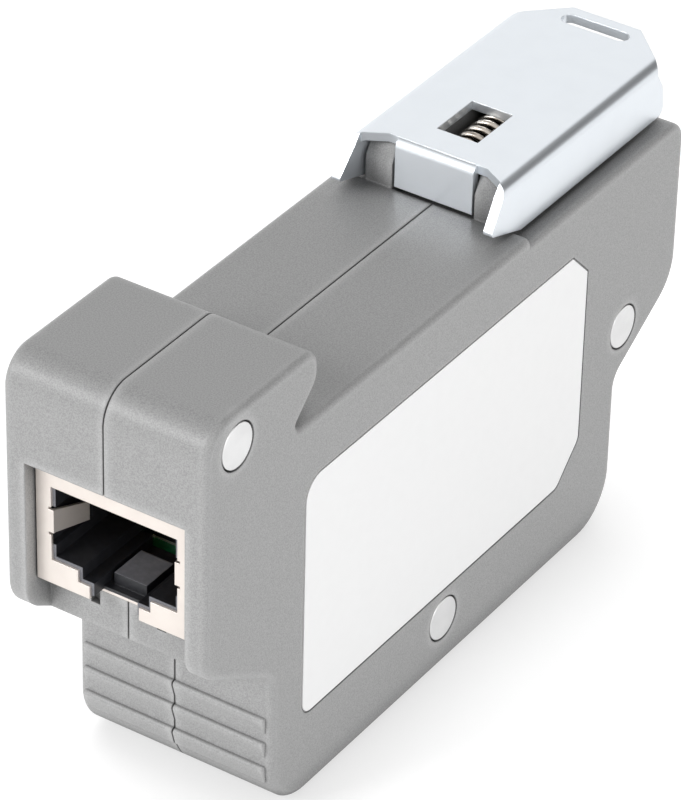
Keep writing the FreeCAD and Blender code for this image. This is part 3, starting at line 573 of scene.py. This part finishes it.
# Soft aluminium, pressed flat by the rivet tool: pale and satin.
RIVET_ALUMINIUM = MetalSheet(
    "pressed_aluminium_rivet", colour="#ECECEC", shade_colour="#E4E4E4", roughness=0.4, grain_mm=(0.4, 0.4, 0.4)
)
# Drawn spring wire: warm silver. Its drawing lines are too fine to show, so a coarser, even grain stands for them.
SPRING_WIRE = MetalSheet(
    "drawn_spring_wire", colour="#CFC8BF", shade_colour="#A89E94", roughness=0.26, grain_mm=(0.3, 0.3, 0.3)
)
# Gold flash over phosphor bronze.
GOLD_FLASH = MetalSheet(
    "gold_flashed_bronze", colour="#E3B866", shade_colour="#C99A4C", roughness=0.24, grain_mm=(0.2, 1.5, 0.2)
)
# Glass-filled polyester moulding: near black, with a low sheen on its edges.
INSERT_PLASTIC = Moulding("black_moulded_polyester", colour="#1E1F23", light="#28292D", roughness=0.4)
# The same moulding, painted paler and made duller on the mouth's rim and the ramp's top: painted light where the light
# falls on them.
INSERT_PAINTED_LIT = Moulding(
    "moulded_polyester_painted_lit", colour="#6E6F75", light="#78797F", roughness=0.5, edge_mm=0.2
)
# Film with a matte coat, left blank: even white.
LABEL_FILM = Moulding(
    "matte_label_film", colour="#F6F6F6", light="#F7F7F7", roughness=0.55, grain_mm=1.2, bump=0.03, edge_mm=0.05
)
# Green solder resist over woven glass laminate.
BOARD_LAMINATE = Moulding("solder_resist_on_laminate", colour="#187E50", light="#1F8C5B", roughness=0.35, grain_mm=0.9)
# Glazed alumina between metal rings.
TUBE_CERAMIC = Moulding("glazed_ceramic", colour="#DCD8CF", light="#E6E2DA", roughness=0.28, grain_mm=1.0)
# Epoxy package, matte from its mould.
DIODE_EPOXY = Moulding("moulded_epoxy", colour="#17181A", light="#222326", roughness=0.55, grain_mm=0.3)


def choose(piece: bpy.types.Object) -> None:
    """Selects one object alone and makes it active.

    Args:
        piece: the object that the next operators work on.
    """
    bpy.ops.object.select_all(action="DESELECT")
    piece.select_set(True)
    bpy.context.view_layer.objects.active = piece


def in_edit_mode(piece: bpy.types.Object, work: Callable[[], None]) -> None:
    """Runs mesh operators on a whole piece in edit mode.

    Args:
        piece: the mesh to edit.
        work: the operators, run with everything selected.
    """
    choose(piece)
    bpy.ops.object.mode_set(mode="EDIT")
    bpy.ops.mesh.select_all(action="SELECT")
    work()
    bpy.ops.object.mode_set(mode="OBJECT")


def add_modifier(piece: bpy.types.Object, kind: str, settings: dict) -> None:
    """Adds a modifier to a piece and applies it.

    Args:
        piece: the mesh that gets it.
        kind: the modifier's type.
        settings: modifier properties by name.
    """
    choose(piece)
    bpy.ops.object.modifier_add(type=kind)
    modifier = piece.modifiers[-1]
    for name, value in settings.items():
        setattr(modifier, name, value)
    bpy.ops.object.modifier_apply(modifier=modifier.name)


def smooth(piece: bpy.types.Object, angle: float) -> None:
    """Shades a piece smooth across its rounds, with flat faces kept flat.

    Args:
        piece: the mesh to shade.
        angle: the sharpest edge in degrees that still looks round.
    """
    choose(piece)
    bpy.ops.object.shade_smooth_by_angle(angle=math.radians(angle))
    add_modifier(piece, "WEIGHTED_NORMAL", {"keep_sharp": True, "weight": 100})


def clean_copy(node: str, name: str) -> bpy.types.Object:
    """Copies a CAD node into a new piece with joined vertices and whole flat faces.

    Args:
        node: the CAD node to copy.
        name: the new piece's name.

    Returns:
        The new piece, which rides on nothing yet.
    """
    choose(frame["nodes"][node])
    bpy.ops.object.duplicate()
    piece = bpy.context.view_layer.objects.active
    piece.name = name
    piece.data.name = name
    piece.parent = None
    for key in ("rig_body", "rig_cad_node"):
        del piece[key]

    def join() -> None:
        """Drops the imported normals, welds the loose triangles and clears lines across flat faces."""
        bpy.ops.mesh.customdata_custom_splitnormals_clear()
        bpy.ops.mesh.remove_doubles(threshold=WELD_MM * MM)
        bpy.ops.mesh.dissolve_limited(angle_limit=math.radians(FLAT_DEGREES))

    in_edit_mode(piece, join)
    return piece


def finish_piece(piece: bpy.types.Object, body: Body, slot: Slot, finish: Finish, *nodes: str) -> None:
    """Dresses a new piece, puts it on its body and lets it stand for its CAD nodes.

    Args:
        piece: the finished mesh.
        body: the body that it rides on.
        slot: the record's material slot; not used.
        finish: the surface finish.
        *nodes: the CAD nodes that it stands for.
    """
    finish.dress(piece)
    if nodes:
        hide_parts(*nodes)
    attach(piece, body.value)
    log.info("%s: %d faces, stands for %s", piece.name, len(piece.data.polygons), ", ".join(nodes) or "nothing")


@dataclass
class Housing:
    """Two painted halves, the label in its field and the rivets that hold the halves.

    Attributes:
        smooth_angle: the sharpest edge in degrees that still looks round.
        rivets: the rivets' CAD nodes.
        rivet_edge_mm, rivet_edge_steps: size and steps of the round that pressing leaves on a rivet's edges.
        rivet_edge_limit: how far in radians an edge has to turn to get that round.
    """

    smooth_angle: float = 34.0
    rivets: tuple[str, ...] = ("rivet_head", "rivet_base", "rivet_rear")
    rivet_edge_mm: float = 0.12
    rivet_edge_steps: int = 3
    rivet_edge_limit: float = 0.6

    def build(self) -> None:
        """Builds and dresses the halves, the label and the rivets."""
        for side in Side:
            node = "housing_" + side.value
            half = clean_copy(node, "housing_half_" + side.value)
            smooth(half, self.smooth_angle)
            finish_piece(half, Body.HOUSING, Slot.HOUSING, HOUSING_PAINT, node)
        label = clean_copy("label", "blank_label")
        smooth(label, self.smooth_angle)
        finish_piece(label, Body.HOUSING, Slot.LABEL, LABEL_FILM, "label")
        for node in self.rivets:
            rivet = clean_copy(node, node + "_pressed")
            add_modifier(
                rivet,
                "BEVEL",
                {
                    "width": self.rivet_edge_mm * MM,
                    "segments": self.rivet_edge_steps,
                    "limit_method": "ANGLE",
                    "angle_limit": self.rivet_edge_limit,
                },
            )
            smooth(rivet, self.smooth_angle)
            finish_piece(rivet, Body.HOUSING, Slot.RIVET, RIVET_ALUMINIUM, node)


@dataclass
class Socket:
    """One shielded line socket: folded shield, moulded insert and contacts.

    Attributes:
        end: the end of the housing that it sits in.
        smooth_angle: the sharpest edge in degrees that still looks round.
        rim_depth_mm: how far behind its outermost face the insert's rim still counts as rim.
        ramp_top_mm, ramp_half_mm, ramp_reach_mm: the latch ramp's height, half its width, and how near to that
            height a face has to be.
        square_on, mostly_up: how nearly a face has to point along Y, or upwards.
    """

    end: End
    smooth_angle: float = 30.0
    rim_depth_mm: float = 0.05
    ramp_top_mm: float = 24.15
    ramp_half_mm: float = 1.8
    ramp_reach_mm: float = 0.1
    square_on: float = 0.99
    mostly_up: float = 0.9

    def paint_lit_faces(self, piece: bpy.types.Object) -> None:
        """Puts the paler copy of the moulding, painted light, on the insert's outer rim and on its ramp's top.

        Args:
            piece: the dressed insert.
        """
        # Painted light: the rim and the ramp's top, which face the light, take a paler copy of the moulding.
        piece.data.materials.append(INSERT_PAINTED_LIT.material())
        lit_slot = len(piece.data.materials) - 1
        facing = [face for face in piece.data.polygons if abs(face.normal.y) > self.square_on]
        outer = max(abs(face.center.y) for face in facing)
        rim = [face for face in facing if abs(face.center.y) > outer - self.rim_depth_mm * MM]
        ramp = [
            face
            for face in piece.data.polygons
            if face.normal.z > self.mostly_up
            and abs(face.center.z - self.ramp_top_mm * MM) < self.ramp_reach_mm * MM
            and abs(face.center.x) < self.ramp_half_mm * MM
        ]
        for face in rim + ramp:
            face.material_index = lit_slot
        log.info("%s: %d faces greyer", piece.name, len(rim) + len(ramp))

    def build(self) -> None:
        """Builds and dresses the shield, the insert and the contacts."""
        parts = (
            ("jack_shield", Slot.SHIELD, TINNED_STEEL),
            ("jack_insert", Slot.INSERT, INSERT_PLASTIC),
            ("jack_contacts", Slot.CONTACT, GOLD_FLASH),
        )
        for part, slot, finish in parts:
            node = self.end.value + "_" + part
            piece = clean_copy(node, node.replace("jack", "socket"))
            smooth(piece, self.smooth_angle)
            finish_piece(piece, Body.HOUSING, slot, finish, node)
            if finish is INSERT_PLASTIC:
                self.paint_lit_faces(piece)


@dataclass
class Inside:
    """The board, its surge parts and the earth strap, which keep their CAD shapes."""

    finishes: dict[str, Finish] = field(
        default_factory=lambda: {
            "circuit_board": BOARD_LAMINATE,
            "gas_tube": TUBE_CERAMIC,
            "surge_diode": DIODE_EPOXY,
            "earth_strap": GOLD_FLASH,
            "earth_screw": ZINC_PLATING,
        }
    )

    def build(self) -> None:
        """Dresses the CAD nodes inside the housing."""
        for node, piece in frame["nodes"].items():
            for start, finish in self.finishes.items():
                if node.startswith(start):
                    finish.dress(piece)
                    log.info("%s: keeps its shape, dressed in %s", node, finish.name)


@dataclass
class RailFoot:
    """Sliding foot of plated sheet, and the coil spring behind its tongue.

    Attributes:
        smooth_angle, coil_smooth_angle: the sharpest edge in degrees that still looks round, on foot and coil.
        wire_mm, pitch_mm: the spring wire's thickness, and the rise of one turn at rest.
        travel_mm: how far the foot slides; not used.
        steps_per_turn, wire_sides: how finely the coil is drawn.
        spare_turns: turns that are wound past the ends and ground off.
    """

    smooth_angle: float = 34.0
    wire_mm: float = 0.6
    pitch_mm: float = 1.2
    travel_mm: float = 4.2
    steps_per_turn: int = 28
    wire_sides: int = 14
    spare_turns: int = 2
    coil_smooth_angle: float = 50.0

    def build(self) -> None:
        """Builds and dresses the foot and its spring."""
        foot = clean_copy("rail_foot", "sliding_foot")
        smooth(foot, self.smooth_angle)
        finish_piece(foot, Body.FOOT, Slot.ZINC, ZINC_PLATING, "rail_foot")
        self.build_spring()

    def build_spring(self) -> None:
        """Winds the round wire spring with ground ends."""
        low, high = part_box("foot_spring")
        length = high.y - low.y
        radius = (high.x - low.x) / 2
        centre = (low + high) / 2
        mean = radius - self.wire_mm * MM / 2
        turns = math.ceil(length / (self.pitch_mm * MM)) + self.spare_turns
        bpy.ops.object.select_all(action="DESELECT")
        bpy.ops.mesh.primitive_circle_add(
            vertices=self.wire_sides,
            radius=self.wire_mm * MM / 2,
            location=(mean, 0, 0),
            rotation=(math.pi / 2, 0, 0),
        )
        coil = bpy.context.view_layer.objects.active
        coil.name = "coil_spring"
        coil.data.name = "coil_spring"
        bpy.ops.object.transform_apply(location=True, rotation=True, scale=True)
        add_modifier(
            coil,
            "SCREW",
            {
                "axis": "Z",
                "angle": 2 * math.pi,
                "screw_offset": self.pitch_mm * MM,
                "iterations": turns,
                "steps": self.steps_per_turn,
                "render_steps": self.steps_per_turn,
                "use_merge_vertices": False,
            },
        )
        spare = (turns * self.pitch_mm * MM - length) / 2

        def grind() -> None:
            """Cuts the coil off square at both ends and closes the cuts."""
            for height, below in ((spare, True), (spare + length, False)):
                bpy.ops.mesh.select_all(action="SELECT")
                bpy.ops.mesh.bisect(
                    plane_co=(0, 0, height),
                    plane_no=(0, 0, 1),
                    use_fill=True,
                    clear_inner=below,
                    clear_outer=not below,
                )
            bpy.ops.mesh.select_all(action="SELECT")
            bpy.ops.mesh.normals_make_consistent(inside=False)

        in_edit_mode(coil, grind)
        coil.rotation_euler = (-math.pi / 2, 0, 0)
        coil.location = (centre.x, low.y - spare, centre.z)
        choose(coil)
        bpy.ops.object.transform_apply(location=True, rotation=True, scale=True)
        smooth(coil, self.coil_smooth_angle)
        finish_piece(coil, Body.HOUSING, Slot.SPRING, SPRING_WIRE, "foot_spring")
        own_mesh(coil)


@dataclass
class Studio:
    """White floor, soft surroundings, two soft lamps and the photograph's camera.

    Attributes:
        camera_mm, azimuth, elevation, roll, focal_px, centre_drop_px: the camera as solved from the photograph.
        lamp_at, fill_at: directions of the main lamp, at the left front, and of the fill, at the right front.
        horizon_level, overhead_level: the tent's levels low down and overhead.
        tent_span: the rise of view at which the tent leaves its low level, and at which it reaches the other.
        right_lean: how much more light comes from the right than from the middle.
        soft_box, dark_board, dark_roof: direction, angles at which each ends and is full, and its level.
        contact_mm, contact_span, contact_tone: reach, limits and tone of the painted shadow where the object stands.
        paper_lift, paper_seen: light that the paper gives off itself, and how much more the camera sees of it.
    """

    floor_size: float = 4.0
    floor_drop_mm: float = 0.02
    paper_colour: str = "#DCDCDC"
    contact_mm: float = 9.0
    contact_span: Span = (0.4, 1.0)
    contact_tone: float = 0.55
    paper_lift: float = 0.52
    paper_seen: float = 0.1
    camera_mm: Triple = (179.255, -280.108, 249.45)
    azimuth: float = 32.9935
    elevation: float = 34.3282
    roll: float = 1.4117
    focal_px: float = 4743.146
    centre_drop_px: float = 0.7
    sensor_mm: float = 36.0
    clip: Span = (0.02, 20.0)
    lamp_at: Triple = (-0.45, -0.71, 0.52)
    fill_at: Triple = (0.70, -0.45, 0.55)
    lamp_distance: float = 0.9
    lamp_size: float = 0.34
    lamp_power: float = 3.1
    fill_power: float = 1.5
    horizon_level: float = 1.4
    overhead_level: float = 0.12
    tent_span: Span = (0.1, 0.45)
    right_lean: float = 0.12
    soft_box: tuple[Triple, Span, float] = ((-0.55, 0.50, 0.67), (48.0, 20.0), 1.2)
    dark_board: tuple[Triple, Span, float] = ((0.36, 0.69, 0.62), (31.0, 16.0), 0.0)
    dark_roof: tuple[Triple, Span, float] = ((-0.42, 0.15, 0.90), (20.0, 8.0), 0.1)

    def build(self) -> None:
        """Builds floor, surroundings, lamps and camera."""
        self.lay_floor()
        self.surround()
        self.hang_lamp("soft_lamp", self.lamp_at, self.lamp_power)
        self.hang_lamp("fill_lamp", self.fill_at, self.fill_power)
        self.set_camera()

    def lay_floor(self) -> None:
        """Lays the pale floor, lit a little from below as on a light table."""
        bpy.ops.object.select_all(action="DESELECT")
        bpy.ops.mesh.primitive_plane_add(size=self.floor_size, location=(0, 0, -self.floor_drop_mm * MM))
        floor = bpy.context.view_layer.objects.active
        floor.name = "floor"
        material = bpy.data.materials.new("matte_white_paper")
        material.use_nodes = True
        tree = material.node_tree
        tree.nodes.clear()
        # Painted contact shadow: the paper's colour darkens towards black close to the object.
        near = put(
            tree, "ShaderNodeAmbientOcclusion", {"samples": OCCLUSION_SAMPLES}, {"Distance": self.contact_mm * MM}
        ).outputs["AO"]
        tone = put(
            tree,
            "ShaderNodeMapRange",
            inputs={
                "Value": near,
                "From Min": self.contact_span[0],
                "From Max": self.contact_span[1],
                "To Min": self.contact_tone,
                "To Max": 1.0,
            },
        ).outputs["Result"]
        colour = put(
            tree,
            "ShaderNodeMix",
            {"data_type": "RGBA"},
            {0: tone, 6: linear("#000000"), 7: linear(self.paper_colour)},
        ).outputs[2]
        paper = put(tree, "ShaderNodeBsdfDiffuse", inputs={"Color": colour}).outputs[0]
        seen = put(tree, "ShaderNodeLightPath").outputs["Is Camera Ray"]
        strength = put(
            tree,
            "ShaderNodeMapRange",
            inputs={"Value": seen, "To Min": self.paper_lift, "To Max": self.paper_lift + self.paper_seen},
        ).outputs["Result"]
        lift = put(
            tree, "ShaderNodeEmission", inputs={"Color": linear("#FFFFFF"), "Strength": strength}
        ).outputs[0]
        both = put(tree, "ShaderNodeAddShader", inputs={0: paper, 1: lift}).outputs[0]
        put(tree, "ShaderNodeOutputMaterial", inputs={"Surface": both})
        floor.data.materials.append(material)

    def lobe(
        self,
        tree: bpy.types.NodeTree,
        place: bpy.types.NodeSocket,
        zone: tuple[Triple, Span, float],
        outside: float,
    ) -> bpy.types.NodeSocket:
        """Adds a soft round zone to the surroundings.

        Args:
            tree: the world's node tree.
            place: the direction that is looked at.
            zone: direction of its middle, angles in degrees at which it ends and is full, and its level.
            outside: level outside the zone.

        Returns:
            The level for every direction.
        """
        at, (ends, full), level = zone
        toward = put(
            tree, "ShaderNodeVectorMath", {"operation": "DOT_PRODUCT"}, {0: place, 1: Vector(at).normalized()}
        ).outputs["Value"]
        return put(
            tree,
            "ShaderNodeMapRange",
            {"interpolation_type": "SMOOTHSTEP"},
            {
                "Value": toward,
                "From Min": math.cos(math.radians(ends)),
                "From Max": math.cos(math.radians(full)),
                "To Min": outside,
                "To Max": level,
            },
        ).outputs["Result"]

    def surround(self) -> None:
        """Surrounds the object with a soft tent and a soft box, and with darks that only gloss shows.

        Camera and transmitted rays meet plain white. Glossy rays meet white with a dark board behind and a dark
        roof above, which give the plates their shading. All other rays meet the tent.
        """
        world = bpy.data.worlds.new("soft_tent")
        bpy.context.scene.world = world
        world.use_nodes = True
        tree = world.node_tree
        tree.nodes.clear()
        place = put(tree, "ShaderNodeTexCoord").outputs["Generated"]
        parts = put(tree, "ShaderNodeSeparateXYZ", inputs={0: place}).outputs
        tent = put(
            tree,
            "ShaderNodeMapRange",
            inputs={
                "Value": parts["Z"],
                "From Min": self.tent_span[0],
                "From Max": self.tent_span[1],
                "To Min": self.horizon_level,
                "To Max": self.overhead_level,
            },
        ).outputs["Result"]
        lean = put(
            tree,
            "ShaderNodeMapRange",
            inputs={
                "Value": parts["X"],
                "From Min": -1.0,
                "From Max": 1.0,
                "To Min": 1.0 - self.right_lean,
                "To Max": 1.0 + self.right_lean,
            },
        ).outputs["Result"]
        leaning = put(tree, "ShaderNodeMath", {"operation": "MULTIPLY"}, {0: tent, 1: lean}).outputs[0]
        box = self.lobe(tree, place, self.soft_box, 0.0)
        level = put(tree, "ShaderNodeMath", {"operation": "ADD"}, {0: leaning, 1: box}).outputs[0]
        board = self.lobe(tree, place, self.dark_board, 1.0)
        roof = self.lobe(tree, place, self.dark_roof, 1.0)
        shine = put(tree, "ShaderNodeMath", {"operation": "MULTIPLY"}, {0: board, 1: roof}).outputs[0]
        white = linear("#FFFFFF")
        soft = put(tree, "ShaderNodeBackground", inputs={"Color": white, "Strength": level}).outputs[0]
        gloss = put(tree, "ShaderNodeBackground", inputs={"Color": white, "Strength": shine}).outputs[0]
        plain = put(tree, "ShaderNodeBackground", inputs={"Color": white, "Strength": 1.0}).outputs[0]
        rays = put(tree, "ShaderNodeLightPath").outputs
        mirrored = put(tree, "ShaderNodeMixShader", inputs={0: rays["Is Glossy Ray"], 1: soft, 2: gloss}).outputs[0]
        seen = put(
            tree,
            "ShaderNodeMath",
            {"operation": "MAXIMUM"},
            {0: rays["Is Camera Ray"], 1: rays["Is Transmission Ray"]},
        ).outputs[0]
        mixed = put(tree, "ShaderNodeMixShader", inputs={0: seen, 1: mirrored, 2: plain}).outputs[0]
        put(tree, "ShaderNodeOutputWorld", inputs={"Surface": mixed})

    def hang_lamp(self, name: str, at: Triple, power: float) -> None:
        """Hangs a soft square lamp.

        Args:
            name: the lamp's name.
            at: its direction from the object.
            power: its power in watts.
        """
        data = bpy.data.lights.new(name, "AREA")
        data.shape = "SQUARE"
        data.size = self.lamp_size
        data.energy = power
        lamp = bpy.data.objects.new(name, data)
        bpy.context.scene.collection.objects.link(lamp)
        direction = Vector(at).normalized()
        lamp.location = direction * self.lamp_distance
        lamp.rotation_euler = (-direction).to_track_quat("-Z", "Y").to_euler()

    def set_camera(self) -> None:
        """Sets the camera where the photograph's straight edges put it."""
        azimuth, elevation, roll = (math.radians(a) for a in (self.azimuth, self.elevation, self.roll))
        level = Vector((math.cos(azimuth), math.sin(azimuth), 0))
        back = Vector(
            (math.sin(azimuth) * math.cos(elevation), -math.cos(azimuth) * math.cos(elevation), math.sin(elevation))
        )
        raised = back.cross(level)
        right = level * math.cos(roll) + raised * math.sin(roll)
        up = raised * math.cos(roll) - level * math.sin(roll)
        data = bpy.data.cameras.new("photo_camera")
        data.sensor_width = self.sensor_mm
        data.lens = self.focal_px / IMAGE_HEIGHT * self.sensor_mm
        data.shift_y = self.centre_drop_px / IMAGE_HEIGHT
        data.clip_start, data.clip_end = self.clip
        camera = bpy.data.objects.new("photo_camera", data)
        bpy.context.scene.collection.objects.link(camera)
        turned = Matrix((right, up, back)).transposed().to_4x4()
        camera.matrix_world = Matrix.Translation(Vector(self.camera_mm) * MM) @ turned
        bpy.context.scene.camera = camera


def main() -> None:
    """Builds the surge protector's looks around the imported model, in order."""
    logging.basicConfig(level=logging.INFO, format="%(name)s: %(message)s")
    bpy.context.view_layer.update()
    bpy.context.scene.view_settings.view_transform = "Standard"
    Housing().build()
    for end in End:
        Socket(end).build()
    Inside().build()
    RailFoot().build()
    Studio().build()


if __name__ == "__main__":
    main()
